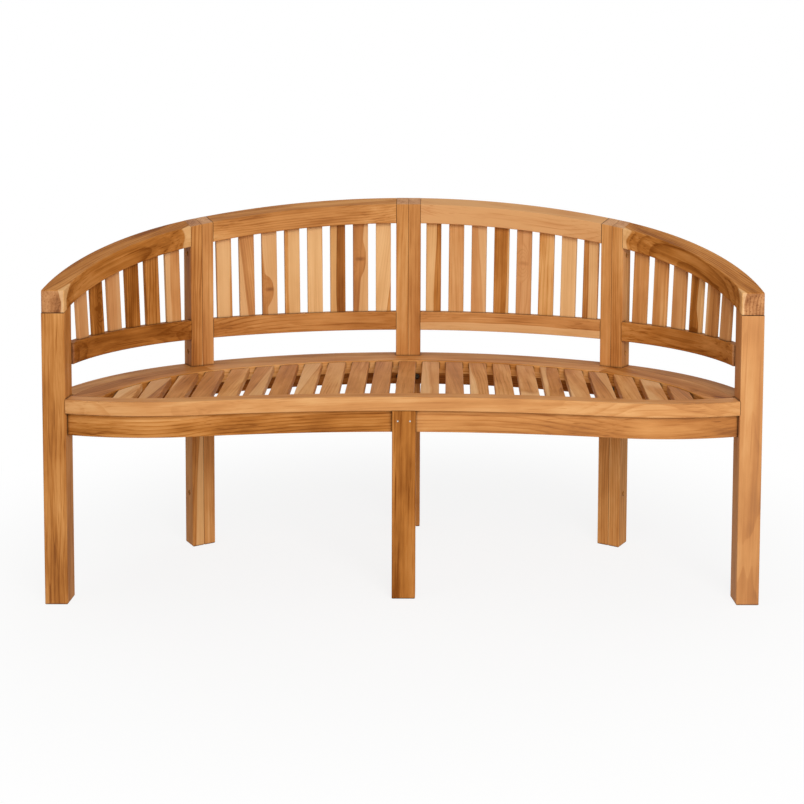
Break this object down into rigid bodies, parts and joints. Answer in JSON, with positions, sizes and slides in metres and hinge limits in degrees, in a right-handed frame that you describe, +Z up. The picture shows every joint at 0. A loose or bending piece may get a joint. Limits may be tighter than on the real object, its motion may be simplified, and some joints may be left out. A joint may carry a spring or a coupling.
{
  "type": "curved garden bench",
  "caption": "Curved wooden garden bench with a slatted wrap-around back and arms, a kidney-shaped slatted seat, square posts and a centre front leg.",
  "frame": {"origin": "on the floor, at the middle of the bench's width and depth", "axes": "+X to the right seen from the front, +Y towards the back, +Z up"},
  "size_m": [1.5, 0.5799, 0.827],
  "materials": {
    "teak": "sanded, unfinished",
    "stainless_steel": "satin"
  },
  "bodies": {
    "root": {"front_post_left": "teak", "front_post_right": "teak", "arm_rear_post_left": "teak", "arm_rear_post_right": "teak", "back_side_post_left": "teak", "back_side_post_right": "teak", "back_centre_post_left": "teak", "back_centre_post_right": "teak", "arm_top_rail_left": "teak", "arm_top_rail_right": "teak", "back_top_rail_left": "teak", "back_top_rail_right": "teak", "arm_lower_rail_left": "teak", "arm_lower_rail_right": "teak", "back_lower_rail_left": "teak", "back_lower_rail_right": "teak", "arm_slats_left": "teak", "arm_slats_right": "teak", "back_slats_left": "teak", "back_slats_right": "teak", "seat_arm_board_left": "teak", "seat_arm_board_right": "teak", "seat_back_board_left": "teak", "seat_back_board_right": "teak", "seat_arm_strip_left": "teak", "seat_arm_strip_right": "teak", "seat_back_strip_left": "teak", "seat_back_strip_right": "teak", "front_apron_left": "teak", "front_apron_right": "teak", "arm_apron_left": "teak", "arm_apron_right": "teak", "back_apron_left": "teak", "back_apron_right": "teak", "seat_slats_left": "teak", "seat_slats_right": "teak", "seat_front_rail": "teak", "seat_slat_centre": "teak", "centre_bearer": "teak", "centre_front_leg": "teak", "seat_loose_tenons": "teak", "post_bolts": "stainless_steel", "post_nuts": "stainless_steel", "leg_screws": "stainless_steel", "seat_coach_screws": "stainless_steel"}
  },
  "joints": []
}
